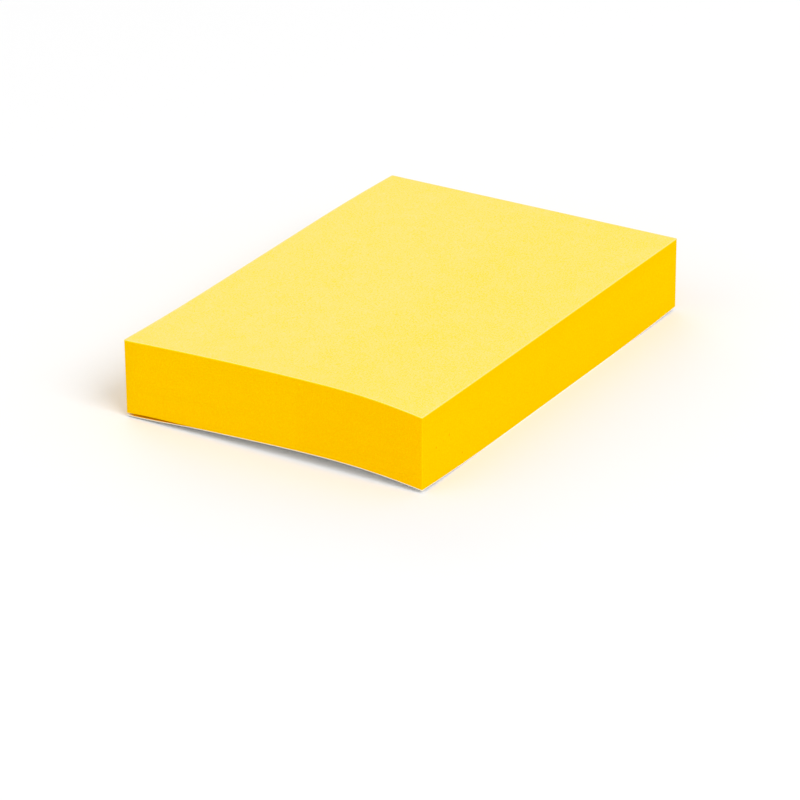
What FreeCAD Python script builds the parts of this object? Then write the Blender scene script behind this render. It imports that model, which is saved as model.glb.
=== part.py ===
# Sticky note pad: a block of notes on a thin white backing sheet.
#
# The pad lies on a table. X runs across the notes, from the loose edge on the -X side to the
# glued edge on the +X side. Y runs along them, and the near end is on the -Y side. Z is up,
# and the origin is on the table, in the middle of the pad. All lengths are in millimetres.
#
# Each note is held to the next by a strip of weak adhesive along the glued edge. The pad has
# curled a little: its middle rests flat, the near end arches off the table with its crest
# nearer to the glued edge, and the far end lifts at the glued corner. The backing sheet is
# stuck to the last note, and has come away from it at the loose corner of the near end. There
# the last notes droop towards the corner, and the backing sheet hovers just off the table.

import FreeCAD, Part
import os
from FreeCAD import Vector

# The notes, as they are cut and stacked
sheet_width = 51.0
sheet_length = 76.0
sheet_count = 100
sheet_pitch = 0.118

# The backing sheet, and where it has come away from the last note
backing_thickness = 0.1
backing_free_width = 13.5
backing_corner_lift = 0.25

# The curl of the pad, as heights of its underside above the flat middle
flat_length = 30.0
arch_start_lift = 0.7
loose_corner_lift = 0.52
loose_shoulder_lift = 1.0
crest_lift = 1.65
glued_corner_lift = 0.5
far_corner_lift = 0.45
crest_from_glued_edge = 16.3

# Both ends are pressed closer than the middle, and the near one a little more at its glued corner
near_end_squeeze = 0.25
glued_corner_squeeze = 0.4
far_end_squeeze = 0.5

# Two points nearer than this are one point
same_place = 1e-6

# Places that follow from the sizes
loose_x = -sheet_width / 2
glued_x = sheet_width / 2
near_y = -sheet_length / 2
far_y = sheet_length / 2
crest_x = glued_x - crest_from_glued_edge
release_x = loose_x + backing_free_width
flat_y = flat_length / 2
block_bottom = backing_thickness
block_top = block_bottom + sheet_count * sheet_pitch


def arc(x_start, x_end, lifts):
    """Control points of a smooth arc: four heights at equal steps from x_start to x_end."""
    step = (x_end - x_start) / 3
    return [(x_start + step * i, lift) for i, lift in enumerate(lifts)]


def eased_arc(x_start, x_end, lift_start, lift_end):
    """An arc that leaves and arrives level."""
    return arc(x_start, x_end, [lift_start, lift_start, lift_end, lift_end])


def rising_arc(x_start, x_end, lift_start, lift_end):
    """Half of a parabola, steep at its start and level at its end."""
    rise = lift_end - lift_start
    return arc(x_start, x_end, [lift_start, lift_start + rise * 2 / 3, lift_end, lift_end])


def falling_arc(x_start, x_end, lift_start, lift_end):
    """Half of a parabola, level at its start and steep at its end."""
    return rising_arc(x_end, x_start, lift_end, lift_start)[::-1]


def straight_run(x_start, x_end, lift_start, lift_end):
    """A straight slope."""
    rise = lift_end - lift_start
    return arc(x_start, x_end, [lift_start + rise * i / 3 for i in range(4)])


def curled_skin(profile, end_y, height):
    """The surface from the flat middle to one end: it rises as a parabola, and ends in the profile."""
    start_y = flat_y if end_y > 0 else -flat_y
    middle_y = (start_y + end_y) / 2
    rows = [
        [Vector(x, end_y, height + lift), Vector(x, middle_y, height), Vector(x, start_y, height)]
        for x, lift in profile
    ]
    surface = Part.BSplineSurface()
    surface.buildFromPolesMultsKnots(rows, [4, 4], [3, 3], [0, 1], [0, 1], False, False, 3, 2)
    return surface


def flat_skin(height, near_stops):
    """The flat middle. Its near edge has a corner at each stop, where the curled surfaces meet."""
    near_edge = [Vector(x, -flat_y, height) for x in near_stops]
    far_edge = [Vector(glued_x, flat_y, height), Vector(loose_x, flat_y, height)]
    return Part.Face(Part.makePolygon(near_edge + far_edge + near_edge[:1]))


def side_wall(skins, corners):
    """One upright cut side, between the edges of the skins that lie on it."""
    start, end = corners

    def lies_on_side(point):
        return abs((point - start).cross(end - start).z) < same_place * start.distanceToPoint(end)

    edges = [e for s in skins for e in s.Edges if all(lies_on_side(v.Point) for v in e.Vertexes)]
    points = [v.Point for e in edges for v in e.Vertexes]
    for corner in corners:
        at_corner = [p for p in points if Vector(p.x, p.y, 0).distanceToPoint(corner) < same_place]
        at_corner.sort(key=lambda point: point.z)
        edges.append(Part.makeLine(at_corner[0], at_corner[-1]))
    return Part.Face(Part.Wire(Part.__sortEdges__(edges)))


def closed_solid(lower_skins, upper_skins):
    """The solid between two skins that both cover the whole sheet."""
    outline = [
        Vector(loose_x, near_y, 0),
        Vector(glued_x, near_y, 0),
        Vector(glued_x, far_y, 0),
        Vector(loose_x, far_y, 0),
    ]
    skins = lower_skins + upper_skins
    walls = [side_wall(skins, (outline[i - 1], outline[i])) for i in range(4)]
    shell = Part.makeShell(skins + walls)
    shell.sewShape()
    solid = Part.makeSolid(shell)
    if solid.Volume < 0:
        solid.reverse()
    return solid


# The underside of the last note. From the release line on, the backing sheet lies against it.
near_arch_profile = eased_arc(loose_x, crest_x, arch_start_lift, crest_lift)
near_glued_profile = falling_arc(crest_x, glued_x, crest_lift, glued_corner_lift)
far_profile = straight_run(loose_x, glued_x, 0.0, far_corner_lift)
near_arch_underside = curled_skin(near_arch_profile, near_y, block_bottom)
near_glued_underside = curled_skin(near_glued_profile, near_y, block_bottom)
far_underside = curled_skin(far_profile, far_y, block_bottom)

# Where the two part: the height and the slope of the arch at the release line
release_share = (release_x - loose_x) / (crest_x - loose_x)
release_lift = near_arch_underside.value(release_share, 0).z - block_bottom
slope_way = near_arch_underside.tangent(release_share, 0)[0]
slope_drop = backing_free_width / 3 * slope_way.z / slope_way.x
held_underside = near_arch_underside.toShape(release_share, 1, 0, 1)


def free_underside(corner_lift, shoulder_lift):
    """A surface from the loose edge that runs smoothly into the arch at the release line."""
    lifts = [corner_lift, shoulder_lift, release_lift - slope_drop, release_lift]
    return curled_skin(arc(loose_x, release_x, lifts), near_y, block_bottom).toShape()


def make_note_sheets():
    """The block of notes. The sheets even out the curl, so the top arch is a plain one."""
    underside = [
        free_underside(loose_corner_lift, loose_shoulder_lift),
        held_underside,
        near_glued_underside.toShape(),
        far_underside.toShape(),
        flat_skin(block_bottom, [loose_x, release_x, crest_x, glued_x]),
    ]
    loose_top_lift = arch_start_lift - near_end_squeeze
    crest_top_lift = crest_lift - near_end_squeeze
    glued_top_lift = glued_corner_lift - glued_corner_squeeze
    top = [
        curled_skin(rising_arc(loose_x, crest_x, loose_top_lift, crest_top_lift), near_y, block_top),
        curled_skin(falling_arc(crest_x, glued_x, crest_top_lift, glued_top_lift), near_y, block_top),
        curled_skin([(x, lift - far_end_squeeze) for x, lift in far_profile], far_y, block_top),
    ]
    flat_top = flat_skin(block_top, [loose_x, crest_x, glued_x])
    return closed_solid(underside, [s.toShape() for s in top] + [flat_top])


def make_backing_sheet():
    """The backing sheet. From the release line to the loose edge it sinks towards the table."""
    upper = [
        free_underside(backing_corner_lift, backing_corner_lift),
        held_underside,
        near_glued_underside.toShape(),
        far_underside.toShape(),
        flat_skin(block_bottom, [loose_x, release_x, crest_x, glued_x]),
    ]
    lower = [s.translated(Vector(0, 0, -backing_thickness)) for s in upper]
    return closed_solid(lower, upper)


os.makedirs("parts", exist_ok=True)
for node, shape in (("note_sheets", make_note_sheets()), ("backing_sheet", make_backing_sheet())):
    shape.exportStep("parts/" + node + ".step")
    print(node, "valid", shape.isValid(), "volume", round(shape.Volume, 2), "box", shape.BoundBox)
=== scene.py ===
# %% [markdown]
# A sticky note pad, dressed for its portrait.
# The real thing is a hundred yellow notes, each held to the next by a strip of weak adhesive
# along one long edge, on a thin white backing sheet. A pad that has lain about curls a little.
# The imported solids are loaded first, because every new piece has to take their place. They
# arrive selected, and an operator acts on all that is selected, so they are deselected at once.

# %% Load the frame
import math
import random

import bpy
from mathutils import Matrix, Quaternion, Vector


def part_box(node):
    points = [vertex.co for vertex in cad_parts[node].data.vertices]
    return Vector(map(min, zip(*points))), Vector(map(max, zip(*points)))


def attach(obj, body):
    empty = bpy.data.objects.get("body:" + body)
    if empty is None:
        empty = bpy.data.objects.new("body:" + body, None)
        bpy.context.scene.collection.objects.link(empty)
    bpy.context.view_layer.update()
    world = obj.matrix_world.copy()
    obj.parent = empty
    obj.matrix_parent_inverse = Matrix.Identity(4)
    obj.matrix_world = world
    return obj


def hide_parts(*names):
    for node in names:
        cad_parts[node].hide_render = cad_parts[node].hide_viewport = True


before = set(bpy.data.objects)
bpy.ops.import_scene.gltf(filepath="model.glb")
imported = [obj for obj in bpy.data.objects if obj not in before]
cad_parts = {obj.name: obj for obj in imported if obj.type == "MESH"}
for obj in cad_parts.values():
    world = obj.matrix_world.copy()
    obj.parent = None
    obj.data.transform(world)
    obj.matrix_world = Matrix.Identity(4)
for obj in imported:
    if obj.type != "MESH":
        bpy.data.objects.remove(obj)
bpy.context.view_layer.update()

bpy.ops.object.select_all(action="DESELECT")

# %% [markdown]
# The sizes of the pad. Blender works in metres here, so a millimetre gets a name of its own.
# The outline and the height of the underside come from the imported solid. What a box can't tell
# is repeated from the maker's drawing: the pitch of the notes, the heights of the curl, and how
# much closer the ends are pressed than the middle. The backing sheet has come away from the
# loose edge to the release line, and the strip of adhesive begins at STRIP_X.

# %% Sizes of the pad
MM = 0.001
block_low, block_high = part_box("note_sheets")

LOOSE_X = block_low.x
GLUED_X = block_high.x
NEAR_Y = block_low.y
FAR_Y = block_high.y
WIDTH = GLUED_X - LOOSE_X
LENGTH = FAR_Y - NEAR_Y
BLOCK_BOTTOM = block_low.z
NOTE_COUNT = 100
NOTE_PITCH = 0.118 * MM
BLOCK_TOP = BLOCK_BOTTOM + NOTE_COUNT * NOTE_PITCH

FLAT_Y = 15.0 * MM
ARCH_START_LIFT = 0.7 * MM
LOOSE_CORNER_LIFT = 0.52 * MM
LOOSE_SHOULDER_LIFT = 1.0 * MM
BACKING_CORNER_LIFT = 0.25 * MM
CREST_LIFT = 1.65 * MM
GLUED_CORNER_LIFT = 0.5 * MM
FAR_CORNER_LIFT = 0.45 * MM
NEAR_END_SQUEEZE = 0.25 * MM
GLUED_CORNER_SQUEEZE = 0.4 * MM
FAR_END_SQUEEZE = 0.5 * MM
CREST_X = GLUED_X - 16.3 * MM
RELEASE_X = LOOSE_X + 13.5 * MM
STRIP_X = GLUED_X - 21.1 * MM
print("one note", round(WIDTH / MM, 2), "x", round(LENGTH / MM, 2), "mm")

# %% [markdown]
# The camera comes before any modelling, so that each try can be held against the photograph. It
# could be moved by hand until the picture looks right, but a fit to the pad's corners is what
# makes single edges comparable. The fit gives a long lens a good arm's length away, which keeps
# the upright edges almost parallel. It looks at a point on the table beside the middle of the
# pad, and leans by less than a twentieth of a degree.

# %% Camera
VIEW_AZIMUTH = math.radians(31.138)
VIEW_ELEVATION = math.radians(24.943)
VIEW_LEAN = math.radians(-0.045)
VIEW_DISTANCE = 806.06 * MM
VIEW_TARGET = Vector((6.275 * MM, -12.268 * MM, 0.0))
LENS_MM = 244.35
SENSOR_MM = 36.0
CLOSEST_SEEN = 0.01
FARTHEST_SEEN = 20.0


def place_camera():
    """Sets the camera on its line of sight and aims it along that line."""
    away = Vector((
        math.sin(VIEW_AZIMUTH) * math.cos(VIEW_ELEVATION),
        -math.cos(VIEW_AZIMUTH) * math.cos(VIEW_ELEVATION),
        math.sin(VIEW_ELEVATION),
    ))
    bpy.ops.object.camera_add(location=VIEW_TARGET + away * VIEW_DISTANCE)
    camera = bpy.context.object
    camera.name = "camera"
    camera.rotation_mode = "QUATERNION"
    aim = (-away).to_track_quat("-Z", "Y")
    camera.rotation_quaternion = aim @ Quaternion((0.0, 0.0, 1.0), VIEW_LEAN)
    camera.data.lens = LENS_MM
    camera.data.sensor_width = SENSOR_MM
    camera.data.clip_start = CLOSEST_SEEN
    camera.data.clip_end = FARTHEST_SEEN
    return camera


camera = place_camera()
bpy.context.scene.camera = camera
print("camera at", [round(c / MM, 1) for c in camera.location], "mm")

# %% [markdown]
# The curl, first as heights across the near end. The underside is an arch with its crest nearer
# to the glued edge. At the loose corner the last notes droop, and the backing sheet has come
# away and sinks almost to the table. The top is a plainer arch, because a hundred sheets even
# the droop out. The curl could be sculpted by hand, but as small functions it is one shape that
# the notes and the backing sheet both follow.


# %% The arch across the near end
def share(value, start, end):
    """How far a value is on its way from start to end."""
    return (value - start) / (end - start)


def near_arch(x):
    """The arch of the underside: an easy rise from the loose edge, a steep fall to the glued one."""
    if x < CREST_X:
        way = share(x, LOOSE_X, CREST_X)
        return ARCH_START_LIFT + (CREST_LIFT - ARCH_START_LIFT) * way * way * (3 - 2 * way)
    return CREST_LIFT - (CREST_LIFT - GLUED_CORNER_LIFT) * share(x, CREST_X, GLUED_X) ** 2


def free_end(x, corner, shoulder):
    """The arch, but between the loose edge and the release line a cubic curve of four heights.

    They are the corner, the shoulder, a handle that continues the arch's own slope, and the arch.
    """
    if x > RELEASE_X:
        return near_arch(x)
    step = 0.01 * MM
    release_lift = near_arch(RELEASE_X)
    slope = (near_arch(RELEASE_X + step) - release_lift) / step
    handle = release_lift - slope * (RELEASE_X - LOOSE_X) / 3
    way = share(x, LOOSE_X, RELEASE_X)
    back = 1.0 - way
    outer_part = back ** 3 * corner + 3 * back * back * way * shoulder
    return outer_part + 3 * back * way * way * handle + way ** 3 * release_lift


def near_underside(x):
    """The underside of the last note, which droops a little at the loose corner."""
    return free_end(x, LOOSE_CORNER_LIFT, LOOSE_SHOULDER_LIFT)


def near_backing(x):
    """The backing sheet. From the release line on it sinks almost to the table."""
    return free_end(x, BACKING_CORNER_LIFT, BACKING_CORNER_LIFT)


def near_top(x):
    """The top of the block, a plain arch with steep sides."""
    crest = CREST_LIFT - NEAR_END_SQUEEZE
    if x < CREST_X:
        side = ARCH_START_LIFT - NEAR_END_SQUEEZE
        return crest - (crest - side) * share(x, CREST_X, LOOSE_X) ** 2
    side = GLUED_CORNER_LIFT - GLUED_CORNER_SQUEEZE
    return crest - (crest - side) * share(x, CREST_X, GLUED_X) ** 2


gap = near_underside(LOOSE_X) - near_backing(LOOSE_X)
print("gap over the backing sheet at the loose corner", round(gap / MM, 2), "mm")

# %% [markdown]
# Then the same for every place on the pad. The middle is flat. Towards the near end the lift
# grows as a parabola into the arch, and towards the far end into a straight slope that lifts
# only the glued corner. There is one function each for the underside of the block, for its top
# and for the backing sheet.


# %% The lift of every place on the pad
def near_reach(y):
    """Nothing on the flat middle, growing to one at the near end."""
    return max(0.0, share(y, -FLAT_Y, NEAR_Y)) ** 2


def far_reach(y):
    """Nothing on the flat middle, growing to one at the far end."""
    return max(0.0, share(y, FLAT_Y, FAR_Y)) ** 2


def far_slope(x):
    """The far end's underside, level with the middle at the loose edge."""
    return FAR_CORNER_LIFT * share(x, LOOSE_X, GLUED_X)


def underside_lift(x, y):
    return near_reach(y) * near_underside(x) + far_reach(y) * far_slope(x)


def backing_lift(x, y):
    return near_reach(y) * near_backing(x) + far_reach(y) * far_slope(x)


def top_lift(x, y):
    return near_reach(y) * near_top(x) + far_reach(y) * (far_slope(x) - FAR_END_SQUEEZE)


crest_height = BLOCK_TOP + top_lift(CREST_X, NEAR_Y)
print("crest of the arch", round(crest_height / MM, 2), "mm over the table")

# %% [markdown]
# The stack is modelled flat and curled afterwards, the way it happened to the real pad. A
# lattice does that: a cage of points is laid round the flat stack, its lower points are lifted
# by the underside's heights and its upper points by the top's, and every sheet between them
# follows. The cage reaches one cell past the paper on each side, so that its curves are true at
# the edges.

# %% A cage that curls whatever it holds
CELLS_ACROSS = 14
CELLS_ALONG = 20
OUTER_CELLS = 2


def add_cage(name, low_z, high_z, low_lift, high_lift):
    """A lattice between two heights, each of its layers lifted by its own function of x and y."""
    size_x = WIDTH * (CELLS_ACROSS + OUTER_CELLS) / CELLS_ACROSS
    size_y = LENGTH * (CELLS_ALONG + OUTER_CELLS) / CELLS_ALONG
    height = high_z - low_z
    bpy.ops.object.add(type="LATTICE", location=(0.0, 0.0, (low_z + high_z) / 2))
    cage = bpy.context.object
    cage.name = name
    cage.scale = (size_x, size_y, height)
    cage.data.points_u = CELLS_ACROSS + OUTER_CELLS + 1
    cage.data.points_v = CELLS_ALONG + OUTER_CELLS + 1
    cage.data.points_w = 2
    cage.data.interpolation_type_u = "KEY_CATMULL_ROM"
    cage.data.interpolation_type_v = "KEY_CATMULL_ROM"
    cage.data.interpolation_type_w = "KEY_LINEAR"
    for point in cage.data.points:
        lift = low_lift if point.co.z < 0 else high_lift
        raised = lift(point.co.x * size_x, point.co.y * size_y) / height
        point.co_deform = point.co + Vector((0.0, 0.0, raised))
    return cage


note_cage = add_cage("note_cage", BLOCK_BOTTOM, BLOCK_TOP, underside_lift, top_lift)
backing_cage = add_cage("backing_cage", 0.0, BLOCK_BOTTOM, backing_lift, backing_lift)
print("cage points", len(note_cage.data.points), "and", len(backing_cage.data.points))

# %% [markdown]
# Two small tools for the work in edit mode. One shares a run out into even steps, which is where
# a sheet will be cut. The other picks vertices by their place, as a hand would with the mouse.
# A vertex is marked as selected in object mode, so this tool goes there and comes back.

# %% Cuts, and points picked by their place
HAIR = 0.001 * MM


def even_cuts(start, end, step):
    """Places that divide a run into even steps of about that size, its two ends left out."""
    count = max(1, round((end - start) / step))
    return [start + (end - start) * i / count for i in range(1, count)]


def select_points(test):
    """Selects the active mesh's vertices whose place passes the test, and stays in edit mode."""
    bpy.ops.mesh.select_mode(type="VERT")
    bpy.ops.mesh.select_all(action="DESELECT")
    bpy.ops.object.mode_set(mode="OBJECT")
    for vertex in bpy.context.object.data.vertices:
        vertex.select = test(vertex.co)
    bpy.ops.object.mode_set(mode="EDIT")


def is_corner(place):
    return abs(place.x) > WIDTH / 2 - HAIR and abs(place.y) > LENGTH / 2 - HAIR


print("a run of 9 in steps of about 2 is cut at", even_cuts(0.0, 9.0, 2.0))

# %% [markdown]
# One blank sheet. Every piece of the pad starts as the same flat outline, a plane of the note's
# size. A grid primitive would be quicker, but all its steps are the same. Bisecting puts one cut
# exactly where the strip of adhesive begins, and the rows close together where the paper curls
# and far apart on the flat middle. A vertex bevel rounds the four corners by a hair, as a blunt
# blade does.

# %% Lay a blank sheet
CORNER_RADIUS = 0.2 * MM
CORNER_STEPS = 4


def bisect_all(places, normal):
    """Cuts the whole mesh at each place, square to the normal."""
    for place in places:
        bpy.ops.mesh.select_all(action="SELECT")
        bpy.ops.mesh.bisect(plane_co=place * normal, plane_no=normal)


def lay_blank(name, height, step, special_x):
    """A flat sheet at that height, cut into steps that meet special_x, left in edit mode."""
    bpy.ops.object.select_all(action="DESELECT")
    bpy.ops.mesh.primitive_plane_add(size=1.0, location=(0.0, 0.0, height))
    sheet = bpy.context.object
    sheet.name = name
    sheet.scale = (WIDTH, LENGTH, 1.0)
    bpy.ops.object.transform_apply(location=True, scale=True)
    loose_part = even_cuts(LOOSE_X, special_x, step)
    glued_part = even_cuts(special_x, GLUED_X, step)
    near_part = even_cuts(NEAR_Y, -FLAT_Y, step)
    far_part = even_cuts(FLAT_Y, FAR_Y, step)
    bpy.ops.object.mode_set(mode="EDIT")
    bisect_all(loose_part + [special_x] + glued_part, Vector((1.0, 0.0, 0.0)))
    bisect_all(near_part + [-FLAT_Y, 0.0, FLAT_Y] + far_part, Vector((0.0, 1.0, 0.0)))
    select_points(is_corner)
    bpy.ops.mesh.bevel(offset=CORNER_RADIUS, segments=CORNER_STEPS, affect="VERTICES")
    bpy.ops.mesh.select_all(action="SELECT")
    return sheet


def raise_top(lift, resize=None):
    """Extrudes the selected top side upwards, and resizes its outline if that is asked for."""
    bpy.ops.mesh.extrude_region_move(TRANSFORM_OT_translate={"value": (0.0, 0.0, lift)})
    if resize:
        bpy.ops.transform.resize(value=resize, center_override=(0.0, 0.0, 0.0))


def leave_edit_mode():
    """Turns every face outwards and goes back to object mode."""
    bpy.ops.mesh.select_all(action="SELECT")
    bpy.ops.mesh.normals_make_consistent(inside=False)
    bpy.ops.object.mode_set(mode="OBJECT")


print("corner radius", CORNER_RADIUS / MM, "mm")

# %% [markdown]
# The stack. Ninety-nine notes could be ninety-nine objects, but nobody sees the paper between
# them, and pages that are held together count as one piece. So the stack is one closed body
# that keeps every cut edge. It grows sheet by sheet: the top is extruded by a paper's thickness,
# then drawn in and out again over a shallow groove, which is the seam to the next sheet.

# %% Build up the stack
NOTE_SEAM = 0.012 * MM
STACK_PITCH = (BLOCK_TOP - BLOCK_BOTTOM + NOTE_SEAM) / NOTE_COUNT
NOTE_THICKNESS = STACK_PITCH - NOTE_SEAM
SEAM_DEPTH = 0.005 * MM
NARROWER = (1.0 - 2 * SEAM_DEPTH / WIDTH, 1.0 - 2 * SEAM_DEPTH / LENGTH, 1.0)
WIDER = tuple(1.0 / factor for factor in NARROWER)
STACKED_NOTES = NOTE_COUNT - 1
STACK_STEP = 3.2 * MM

stack = lay_blank("note_stack", BLOCK_BOTTOM, STACK_STEP, STRIP_X)
raise_top(NOTE_THICKNESS)
for _ in range(STACKED_NOTES - 1):
    raise_top(NOTE_SEAM / 2, NARROWER)
    raise_top(NOTE_SEAM / 2, WIDER)
    raise_top(NOTE_THICKNESS)
leave_edit_mode()
print("stack of", STACKED_NOTES, "notes has", len(stack.data.polygons), "faces")

# %% [markdown]
# The top note and the backing sheet. Both are the same blank with one extrusion. The top note
# could be the hundredth sheet of the stack, but it is the one that peels off next and everybody
# sees it, so it is a piece of its own and is cut finer. The backing sheet has its special cut
# where it comes away from the last note.

# %% Lay the top note and the backing sheet
TOP_STEP = 1.6 * MM
BACKING_STEP = 2.1 * MM
BACKING_THICKNESS = BLOCK_BOTTOM - 2 * HAIR
TOP_NOTE_BOTTOM = BLOCK_TOP - STACK_PITCH + HAIR

top_note = lay_blank("top_note", TOP_NOTE_BOTTOM, TOP_STEP, STRIP_X)
raise_top(BLOCK_TOP - TOP_NOTE_BOTTOM)
leave_edit_mode()

backing = lay_blank("backing", 0.0, BACKING_STEP, RELEASE_X)
raise_top(BACKING_THICKNESS)
leave_edit_mode()
print("top note", len(top_note.data.polygons), "faces, backing", len(backing.data.polygons))

# %% [markdown]
# A cut stack is flush, but never perfect. Each sheet is shifted and turned by a few thousandths
# of a millimetre, just enough for single edges to catch the light. The whole stack is first
# made narrower by as much, so that no sheet leaves the pad's real outline. A fixed seed gives
# the same stack every time.

# %% Disturb the sheets of the stack
STACK_SEED = 7
MOST_SHIFT = 0.003 * MM
MOST_TURN = math.radians(0.003)
draw = random.Random(STACK_SEED)


def nudge():
    """A shift along x and y, and a turn, for one sheet."""
    shift_x = draw.uniform(-MOST_SHIFT, MOST_SHIFT)
    shift_y = draw.uniform(-MOST_SHIFT, MOST_SHIFT)
    return shift_x, shift_y, draw.uniform(-MOST_TURN, MOST_TURN)


def sheet_number(height):
    """Which sheet of the flat stack a height belongs to, counted from the bottom."""
    return int((height - BLOCK_BOTTOM + HAIR) / STACK_PITCH)


nudges = [nudge() for _ in range(STACKED_NOTES)]
slack = 2 * MOST_SHIFT + MOST_TURN * LENGTH / 2
for vertex in stack.data.vertices:
    shift_x, shift_y, turn = nudges[sheet_number(vertex.co.z)]
    x = vertex.co.x * (1.0 - 2 * slack / WIDTH)
    y = vertex.co.y * (1.0 - 2 * slack / LENGTH)
    vertex.co.x = x - turn * y + shift_x
    vertex.co.y = y + turn * x + shift_y
print("slack at the sides", round(slack / MM, 4), "mm")

# %% [markdown]
# The curl has also drawn the lower sheets in at the loose edge, so that side leans by a fifth of
# a millimetre. And before the curl, every vertex of a note is told its height in the flat pad.
# The edge material will need it to follow single sheets, whose real heights are curved later.

# %% Draw the loose edge in and remember the heights
DRAWN_IN = 0.2 * MM


def draw_in(vertex):
    """Moves a vertex away from the loose edge, most at the bottom and at the loose edge itself."""
    depth = share(vertex.co.z, BLOCK_TOP, BLOCK_BOTTOM)
    vertex.co.x += DRAWN_IN * depth * share(vertex.co.x, GLUED_X, LOOSE_X)


def remember_heights(piece):
    """Writes each vertex's height over the table into an attribute."""
    heights = [vertex.co.z for vertex in piece.data.vertices]
    attribute = piece.data.attributes.new("flat_height", "FLOAT", "POINT")
    attribute.data.foreach_set("value", heights)


for piece in (stack, backing):
    for vertex in piece.data.vertices:
        draw_in(vertex)
for piece in (stack, top_note):
    remember_heights(piece)
print("loose edge at the table", round(min(v.co.x for v in backing.data.vertices) / MM, 2), "mm")

# %% [markdown]
# Now the curl. Each piece is bent by its cage, the bend is applied, and the cages are thrown
# away. Smooth shading by angle keeps the broad curve soft and the cut edges crisp.

# %% Curl the pieces
SMOOTH_ANGLE = math.radians(24.0)


def curl(piece, cage):
    """Bends the piece with its cage, and keeps the result."""
    modifier = piece.modifiers.new("curl", "LATTICE")
    modifier.object = cage
    bpy.context.view_layer.objects.active = piece
    bpy.ops.object.modifier_apply(modifier=modifier.name)


curl(stack, note_cage)
curl(top_note, note_cage)
curl(backing, backing_cage)
for cage in (note_cage, backing_cage):
    bpy.data.objects.remove(cage)
bpy.ops.object.select_all(action="DESELECT")
for piece in (stack, top_note, backing):
    piece.select_set(True)
bpy.context.view_layer.objects.active = top_note
bpy.ops.object.shade_smooth_by_angle(angle=SMOOTH_ANGLE)
highest = max(vertex.co.z for vertex in top_note.data.vertices)
print("the top note reaches", round(highest / MM, 2), "mm")

# %% [markdown]
# Paper has two looks: the face, which is pale and finely grained, and the cut edge, where light
# sinks in between the fibres and comes back a deeper colour. So each piece needs two material
# slots. Every face that doesn't look straight up or down is an edge. The deep orange in the gap
# under the loose corner is painted light. The two sides that face each other in it are painted
# amber, so that the light bounced between them comes out orange. They are the underside of the
# stack, which takes the edge slot here, and the inner side of the backing sheet, which gets a
# slot of its own.

# %% Give each piece a face slot and an edge slot
FACE_SLOT = 0
EDGE_SLOT = 1
PAINTED_GAP_LIGHT_SLOT = 2
LEVEL_LIMIT = 0.95


def assign_slots(piece, face_material, edge_material):
    """Puts one material on the paper's faces and another on its cut edges."""
    piece.data.materials.append(face_material)
    piece.data.materials.append(edge_material)
    for polygon in piece.data.polygons:
        level = abs(polygon.normal.z) >= LEVEL_LIMIT
        polygon.material_index = FACE_SLOT if level else EDGE_SLOT


note_face = bpy.data.materials.new("note_face")
note_edge = bpy.data.materials.new("note_edge")
backing_face = bpy.data.materials.new("backing_face")
backing_edge = bpy.data.materials.new("backing_edge")
backing_inside_painted_light = bpy.data.materials.new("backing_inside_painted_light")
assign_slots(stack, note_face, note_edge)
assign_slots(top_note, note_face, note_edge)
assign_slots(backing, backing_face, backing_edge)
backing.data.materials.append(backing_inside_painted_light)
# The underside of the stack takes the amber edge material as painted light for the gap.
for polygon in stack.data.polygons:
    if polygon.normal.z < -LEVEL_LIMIT:
        polygon.material_index = EDGE_SLOT
# The inner side of the backing gets painted amber light for the gap under the loose corner.
for polygon in backing.data.polygons:
    if polygon.normal.z > LEVEL_LIMIT:
        polygon.material_index = PAINTED_GAP_LIGHT_SLOT
print("edge faces of the stack", sum(p.material_index == EDGE_SLOT for p in stack.data.polygons))

# %% [markdown]
# Node materials are easier to read when each node is made in one line. This helper adds a node,
# sets its sockets, and links any socket that is given another node's output. Noise is made on a
# grid, and where a flat face lies along that grid the noise fades away, so the grid is turned
# askew for every noise here. A mix is a start value and a weight for each pattern, all in one
# small table, so that a look can be tuned in one place.

# %% A helper for node trees
GRID_TURN = (0.6, 0.35, 0.9)


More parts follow.
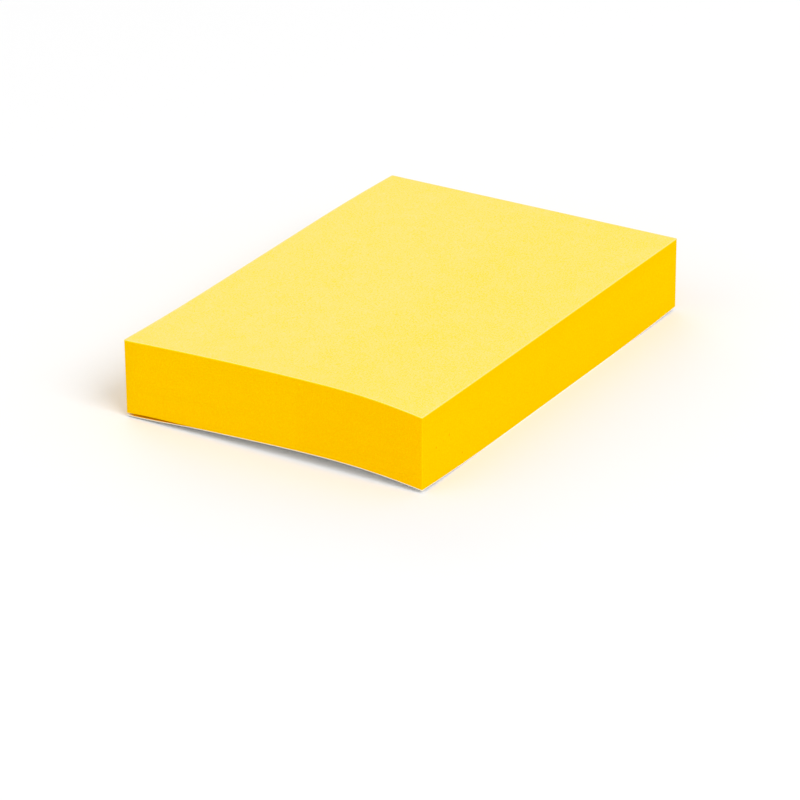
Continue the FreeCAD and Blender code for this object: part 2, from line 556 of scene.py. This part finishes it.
class Recipe:
    """A material's node tree, with its Principled shader and its Object coordinates at hand."""

    def __init__(self, material):
        material.use_nodes = True
        self.tree = material.node_tree
        self.shader = self.tree.nodes["Principled BSDF"]
        self.place = self.add("ShaderNodeTexCoord").outputs["Object"]
        self.axes = self.add("ShaderNodeSeparateXYZ", {0: self.place}).outputs

    def feed(self, node, sockets):
        """Sets or links the sockets of a node, each given by its name or number."""
        for socket, value in sockets.items():
            if isinstance(value, bpy.types.NodeSocket):
                self.tree.links.new(value, node.inputs[socket])
            else:
                node.inputs[socket].default_value = value

    def add(self, kind, sockets=None, **settings):
        """A new node with its settings made and its sockets fed."""
        node = self.tree.nodes.new(kind)
        for name, value in settings.items():
            setattr(node, name, value)
        self.feed(node, sockets or {})
        return node

    def compute(self, operation, first, second=0.0, third=0.0):
        sockets = {0: first, 1: second, 2: third}
        return self.add("ShaderNodeMath", sockets, operation=operation).outputs[0]

    def both(self, first, second):
        """One only where the first and the second are one."""
        return self.compute("MULTIPLY", first, second)

    def blend(self, amount, first, second):
        """A colour on its way from the first to the second."""
        node = self.add("ShaderNodeMix", {0: amount, 6: first, 7: second}, data_type="RGBA")
        return node.outputs[2]

    def noise(self, place, scale, detail=2.0, roughness=0.5):
        """Noise about zero, mostly between minus a half and a half."""
        turned = self.add("ShaderNodeMapping", {"Vector": place, "Rotation": GRID_TURN}).outputs[0]
        sockets = {"Vector": turned, "Scale": scale, "Detail": detail, "Roughness": roughness}
        value = self.add("ShaderNodeTexNoise", sockets).outputs[0]
        return self.compute("SUBTRACT", value, 0.5)

    def ease(self, value, start, end):
        """Nothing up to start, one from end on, and a soft change between them."""
        sockets = {"Value": value, "From Min": start, "From Max": end}
        node = self.add("ShaderNodeMapRange", sockets, interpolation_type="SMOOTHSTEP")
        return node.outputs[0]

    def weigh(self, mix, **patterns):
        """The start value of a mix, plus each pattern times its weight in the mix."""
        value = mix["start"]
        for name, pattern in patterns.items():
            value = self.compute("MULTIPLY_ADD", pattern, mix[name], value)
        return value


print("node helper ready, noise grid turned by", GRID_TURN)

# %% [markdown]
# Some things all papers here have in common. Each has a grain as fine as its fibres, and soft
# clouds a few millimetres across where the fibres lie thicker. The grain also drives the
# roughness and a shallow bump. Many looks change near the outline of the sheet, and here and
# there a speck of dust sits in the paper.

# %% What all papers share
GRAIN_SCALE = 4400.0
CLOUD_SCALE = 280.0
NOISE_DETAIL = 3.0
GRAIN_HARSHNESS = 0.6
GRAIN_IN_ROUGHNESS = 0.15
HALF_SIZE = {"X": WIDTH / 2, "Y": LENGTH / 2}
SPECK_CORE = 0.3


def grain_of(recipe, scale=GRAIN_SCALE):
    return recipe.noise(recipe.place, scale, NOISE_DETAIL, GRAIN_HARSHNESS)


def clouds_of(recipe):
    return recipe.noise(recipe.place, CLOUD_SCALE, NOISE_DETAIL)


def towards_outline(recipe, axis, start, end=0.0):
    """Grows from nothing to one between two distances from the outline along an axis."""
    from_middle = recipe.compute("ABSOLUTE", recipe.axes[axis])
    return recipe.ease(from_middle, HALF_SIZE[axis] - start, HALF_SIZE[axis] - end)


def speck_at(recipe, point, radius):
    """One at a point on the pad, and nothing a radius away from it."""
    sockets = {0: recipe.place, 1: point}
    distance = recipe.add("ShaderNodeVectorMath", sockets, operation="DISTANCE").outputs["Value"]
    return recipe.ease(distance, radius, radius * SPECK_CORE)


def finish_paper(recipe, colour, grain, roughness, shine, bump_height):
    """The colour, the gloss, and a roughness and bump that follow the grain."""
    uneven = recipe.compute("MULTIPLY_ADD", grain, GRAIN_IN_ROUGHNESS, roughness)
    bump = recipe.add("ShaderNodeBump", {"Distance": bump_height, "Height": grain}).outputs[0]
    recipe.feed(recipe.shader, {"Base Color": colour, "Roughness": uneven})
    recipe.feed(recipe.shader, {"Normal": bump, "Specular IOR Level": shine})


print("grain", round(1 / GRAIN_SCALE / MM, 2), "mm, clouds", round(1 / CLOUD_SCALE / MM, 1), "mm")

# %% [markdown]
# The face of a note. Dyed paper is matt, and close up its colour is uneven. A picture of paper
# could be laid on it, but noise between two colours of one dye has no seams and stays sharp.
# Over the strip of adhesive the paper looks a shade deeper, and its rim is painted paler, a
# painted highlight where the cut edge catches the light. A few specks sit in it, each with its own
# size.

# %% The face of a note
FACE_PALE = (0.955, 0.771, 0.291, 1.0)
FACE_DEEP = (0.955, 0.727, 0.03, 1.0)
# The rim weight paints a highlight: the face is paler along its outline.
FACE_MIX = {"start": 0.52, "grain": 2.6, "clouds": 0.34, "strip": 0.075, "rim": -0.5}
STRIP_FADE_START = STRIP_X - 8.0 * MM
STRIP_FADE_END = STRIP_X + 4.0 * MM
RIM_WIDTH = 0.4 * MM
FACE_BUMP = 0.01 * MM
FACE_SPECK_STRENGTH = 0.8
FACE_SPECKS = (
    (3.45 * MM, -8.71 * MM, 0.35 * MM),
    (11.12 * MM, 35.7 * MM, 0.52 * MM),
    (5.95 * MM, -29.4 * MM, 0.47 * MM),
    (18.1 * MM, -37.95 * MM, 0.19 * MM),
    (-9.5 * MM, -37.95 * MM, 0.19 * MM),
)


def finish_note_face(material):
    recipe = Recipe(material)
    grain = grain_of(recipe)
    clouds = clouds_of(recipe)
    strip = recipe.ease(recipe.axes["X"], STRIP_FADE_START, STRIP_FADE_END)
    # Painted highlight along the outline of the face.
    side_rim = towards_outline(recipe, "X", RIM_WIDTH)
    end_rim = towards_outline(recipe, "Y", RIM_WIDTH)
    rim = recipe.compute("MAXIMUM", side_rim, end_rim)
    depth = recipe.weigh(FACE_MIX, grain=grain, clouds=clouds, strip=strip, rim=rim)
    colour = recipe.blend(depth, FACE_PALE, FACE_DEEP)
    for x, y, radius in FACE_SPECKS:
        speck = speck_at(recipe, (x, y, BLOCK_TOP + top_lift(x, y)), radius)
        amount = recipe.compute("MULTIPLY", speck, FACE_SPECK_STRENGTH)
        colour = recipe.blend(amount, colour, FACE_DEEP)
    finish_paper(recipe, colour, grain, roughness=0.85, shine=0.1, bump_height=FACE_BUMP)


finish_note_face(note_face)
print("note_face nodes", len(note_face.node_tree.nodes))

# %% [markdown]
# The cut edges. Light that falls on the side of a stack goes in between the fibres and comes out
# a strong amber. The blade left upright marks all round. On the loose side each sheet has a tone
# of its own, which shows as fine streaks, and over the adhesive the sheets are stuck fast and
# look a shade deeper. The short ends are coarser than the long sides, and deeper towards the
# glued edge. The long sides are deeper towards the top, and at the upright corners they carry a
# painted highlight, paler where the light catches the corner. Each of these is a pattern of its
# own here, so that each can be tuned alone.

# %% The patterns of the cut edges
EDGE_GRAIN_SCALE = 5000.0
MARK_SCALE = 700.0
MARK_STRETCH = 0.06
STREAK_SQUEEZE = 5.0
STRIP_SOFTNESS = 0.3 * MM
SIDE_START = 0.1 * MM
SIDE_FULL = 0.02 * MM
UPPER_PART = 4.0 * MM


def round_the_pad(recipe, height, factor):
    """The place on the sides, with heights in the flat pad made more or less important."""
    level = recipe.compute("MULTIPLY", height, factor)
    sockets = {"X": recipe.axes["X"], "Y": recipe.axes["Y"], "Z": level}
    return recipe.add("ShaderNodeCombineXYZ", sockets).outputs[0]


def edge_patterns(recipe, height, grain, short_side):
    """Every pattern of the cut edges, by the name that it has in the mix."""
    streaks = recipe.noise(round_the_pad(recipe, height, STREAK_SQUEEZE), MARK_SCALE)
    marks = recipe.noise(round_the_pad(recipe, height, MARK_STRETCH), MARK_SCALE)
    strip = recipe.ease(recipe.axes["X"], STRIP_X - STRIP_SOFTNESS, STRIP_X + STRIP_SOFTNESS)
    loose = recipe.compute("SUBTRACT", 1.0, strip)
    long_side = towards_outline(recipe, "X", SIDE_START, SIDE_FULL)
    near_corner = towards_outline(recipe, "Y", RIM_WIDTH)
    towards_glued = recipe.ease(recipe.axes["X"], STRIP_X, GLUED_X)
    upper_part = recipe.ease(height, BLOCK_TOP - UPPER_PART, BLOCK_TOP)
    return {
        "grain": grain,
        "marks": marks,
        "clouds": clouds_of(recipe),
        "strip": strip,
        "streaks": recipe.both(streaks, loose),
        # Painted highlight on the long sides near the upright corners.
        "painted_corner_highlight": recipe.both(long_side, near_corner),
        "end_grain": recipe.both(short_side, grain),
        "glued_end": recipe.both(short_side, towards_glued),
        "upper_side": recipe.both(long_side, upper_part),
    }


print("marks", round(1 / MARK_SCALE / MM, 1), "mm apart, stretched", round(1 / MARK_STRETCH), "times")

# %% [markdown]
# The patterns are weighed against each other in one mix, which says how far each place is on
# its way from the pale amber to the deep one. The weights are small, because a cut edge looks
# even until it is seen close up. Five specks come last, four dark ones and a pale one. The top
# note's own edge is nearly as yellow as its face, and the change comes within two sheets. On its
# short ends that edge is painted paler still, a painted highlight that lifts the shade of the near
# end.

# %% The cut edges of the notes
EDGE_PALE = (0.99, 0.745, 0.0, 1.0)
EDGE_DEEP = (0.955, 0.385, 0.0, 1.0)
# Painted highlight: the top note's edge on the short ends, paler to lift their shade.
TOP_EDGE_PAINTED_HIGHLIGHT = (0.98, 0.85, 0.02, 1.0)
EDGE_MIX = {
    "start": 0.475,
    "grain": 0.65,
    "marks": 0.04,
    "clouds": 0.02,
    "strip": 0.038,
    "streaks": 0.03,
    # Painted highlight at the upright corners of the long sides.
    "painted_corner_highlight": -0.13,
    "end_grain": 0.18,
    "glued_end": 0.04,
    "upper_side": 0.035,
}
TOP_SHEET_START = BLOCK_TOP - 1.8 * STACK_PITCH
TOP_SHEET_FULL = BLOCK_TOP - 0.6 * STACK_PITCH
EDGE_BUMP = 0.006 * MM
EDGE_SPECK_RADIUS = 0.2 * MM
EDGE_SPECKS = (
    (Vector((25.5, -30.35, 6.34)) * MM, 0.6),
    (Vector((25.5, -34.0, 5.76)) * MM, 0.5),
    (Vector((25.5, -26.63, 1.96)) * MM, 0.55),
    (Vector((1.0, -38.0, 11.77)) * MM, 0.25),
    (Vector((4.92, -38.0, 12.38)) * MM, -0.4),
)


def finish_note_edge(material):
    recipe = Recipe(material)
    height = recipe.add("ShaderNodeAttribute", attribute_name="flat_height").outputs["Fac"]
    grain = grain_of(recipe, EDGE_GRAIN_SCALE)
    short_side = towards_outline(recipe, "Y", SIDE_START, SIDE_FULL)
    depth = recipe.weigh(EDGE_MIX, **edge_patterns(recipe, height, grain, short_side))
    for point, weight in EDGE_SPECKS:
        speck = speck_at(recipe, point, EDGE_SPECK_RADIUS)
        depth = recipe.compute("MULTIPLY_ADD", speck, weight, depth)
    edge_colour = recipe.blend(depth, EDGE_PALE, EDGE_DEEP)
    # On the short ends the top note's edge takes the painted highlight colour.
    top_colour = recipe.blend(short_side, FACE_DEEP, TOP_EDGE_PAINTED_HIGHLIGHT)
    top_sheet = recipe.ease(height, TOP_SHEET_START, TOP_SHEET_FULL)
    colour = recipe.blend(top_sheet, edge_colour, top_colour)
    finish_paper(recipe, colour, grain, roughness=0.9, shine=0.0, bump_height=EDGE_BUMP)


finish_note_edge(note_edge)
print("note_edge nodes", len(note_edge.node_tree.nodes))

# %% [markdown]
# The backing sheet is bleached paper with a smoother side, so it is white, a little warm, and
# slightly glossier than the notes, with the same kind of grain. Its cut edge is a cream. Its
# inner side, under the notes, is painted amber but for a white rim along the loose edge. The real
# sheet is white there too, and only looks amber in the light that comes through the notes and
# bounces in the gap. A solid block lets no light through, so the amber is painted light that stands
# for it.

# %% The backing paper
BACKING_PALE = (0.88, 0.87, 0.84, 1.0)
BACKING_DEEP = (0.76, 0.75, 0.71, 1.0)
CREAM_PALE = (0.97, 0.92, 0.78, 1.0)
CREAM_DEEP = (0.93, 0.87, 0.7, 1.0)
# Painted light: an amber that stands for the orange light in the gap under the loose corner.
GAP_PAINTED_LIGHT_PALE = (0.99, 0.62, 0.01, 1.0)
GAP_PAINTED_LIGHT_DEEP = (0.99, 0.54, 0.0, 1.0)
BACKING_MIX = {"start": 0.5, "grain": 0.8, "clouds": 0.5}
WHITE_RIM_FULL = LOOSE_X + 0.5 * MM
WHITE_RIM_END = LOOSE_X + 1.4 * MM
BACKING_BUMP = 0.006 * MM


def finish_backing(material, pale, deep, roughness, shine, rim_colour=None):
    """Paper between two tones, with a rim of another colour if one is given."""
    recipe = Recipe(material)
    grain = grain_of(recipe)
    depth = recipe.weigh(BACKING_MIX, grain=grain, clouds=clouds_of(recipe))
    colour = recipe.blend(depth, pale, deep)
    if rim_colour:
        rim = recipe.ease(recipe.axes["X"], WHITE_RIM_END, WHITE_RIM_FULL)
        colour = recipe.blend(rim, colour, rim_colour)
    finish_paper(recipe, colour, grain, roughness, shine, bump_height=BACKING_BUMP)


finish_backing(backing_face, BACKING_PALE, BACKING_DEEP, roughness=0.55, shine=0.3)
finish_backing(backing_edge, CREAM_PALE, CREAM_DEEP, roughness=0.85, shine=0.0)
# The inner side: painted amber light, with the sheet's real white along the loose rim.
finish_backing(
    backing_inside_painted_light, GAP_PAINTED_LIGHT_PALE, GAP_PAINTED_LIGHT_DEEP, roughness=0.85, shine=0.0, rim_colour=BACKING_PALE,
)
print("backing nodes", len(backing_face.node_tree.nodes))

# %% [markdown]
# The pieces are told what they stand for. The stack and the top note take the place of the
# solid block, and the backing takes the place of its own solid. Nothing moves, so they all ride
# on the one body.

# %% Tie the pieces to the frame
for piece in (stack, top_note):
    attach(piece, "root")
    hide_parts("note_sheets")
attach(backing, "root")
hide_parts("backing_sheet")
print("three pieces ride on the root")

# %% [markdown]
# The table is a plain white sheet of board, large enough to fill the picture from low views
# too. It is only there to stand on.

# %% Table
TABLE_SIZE = 8.0
TABLE_WHITE = (0.93, 0.93, 0.93, 1.0)
TABLE_ROUGHNESS = 0.9


def lay_table():
    bpy.ops.mesh.primitive_plane_add(size=TABLE_SIZE, location=(0.0, 0.0, 0.0))
    table = bpy.context.object
    table.name = "table"
    material = bpy.data.materials.new("table_white")
    material.use_nodes = True
    shader = material.node_tree.nodes["Principled BSDF"]
    shader.inputs["Base Color"].default_value = TABLE_WHITE
    shader.inputs["Roughness"].default_value = TABLE_ROUGHNESS
    shader.inputs["Specular IOR Level"].default_value = 0.0
    table.data.materials.append(material)


lay_table()
print("table", TABLE_SIZE, "m wide")

# %% [markdown]
# Light comes from a bright white room, a large soft lamp from the right and a weaker one from
# the left, so that the right side is a shade brighter than the near one. A low lamp behind the
# pad keeps its other two sides from going dull and its shadow on the table pale. The plain
# Standard view transform keeps the dye as strong as it was mixed.

# %% Light
ROOM_LIGHT = 0.65
ROOM_WHITE = (1.0, 1.0, 1.0, 1.0)
KEY_PLACE = (1.8, -0.7, 2.0)
KEY_SIZE = 1.6
KEY_WATTS = 40.0
FILL_PLACE = (-1.2, -2.0, 1.6)
FILL_SIZE = 2.0
FILL_WATTS = 8.6
BACK_PLACE = (-1.7, 1.6, 0.65)
BACK_SIZE = 1.6
BACK_WATTS = 13.0


def light_room():
    world = bpy.data.worlds.new("room")
    world.use_nodes = True
    background = world.node_tree.nodes["Background"]
    background.inputs["Color"].default_value = ROOM_WHITE
    background.inputs["Strength"].default_value = ROOM_LIGHT
    bpy.context.scene.world = world


def hang_lamp(name, place, size, watts):
    """A square soft lamp that faces the pad."""
    bpy.ops.object.light_add(type="AREA", location=place)
    lamp = bpy.context.object
    lamp.name = name
    lamp.rotation_mode = "QUATERNION"
    lamp.rotation_quaternion = (-Vector(place)).to_track_quat("-Z", "Y")
    lamp.data.size = size
    lamp.data.energy = watts


light_room()
hang_lamp("key_lamp", KEY_PLACE, KEY_SIZE, KEY_WATTS)
hang_lamp("fill_lamp", FILL_PLACE, FILL_SIZE, FILL_WATTS)
hang_lamp("back_lamp", BACK_PLACE, BACK_SIZE, BACK_WATTS)
bpy.context.scene.view_settings.view_transform = "Standard"
print("lamps", KEY_WATTS, FILL_WATTS, BACK_WATTS, "W, room", ROOM_LIGHT)
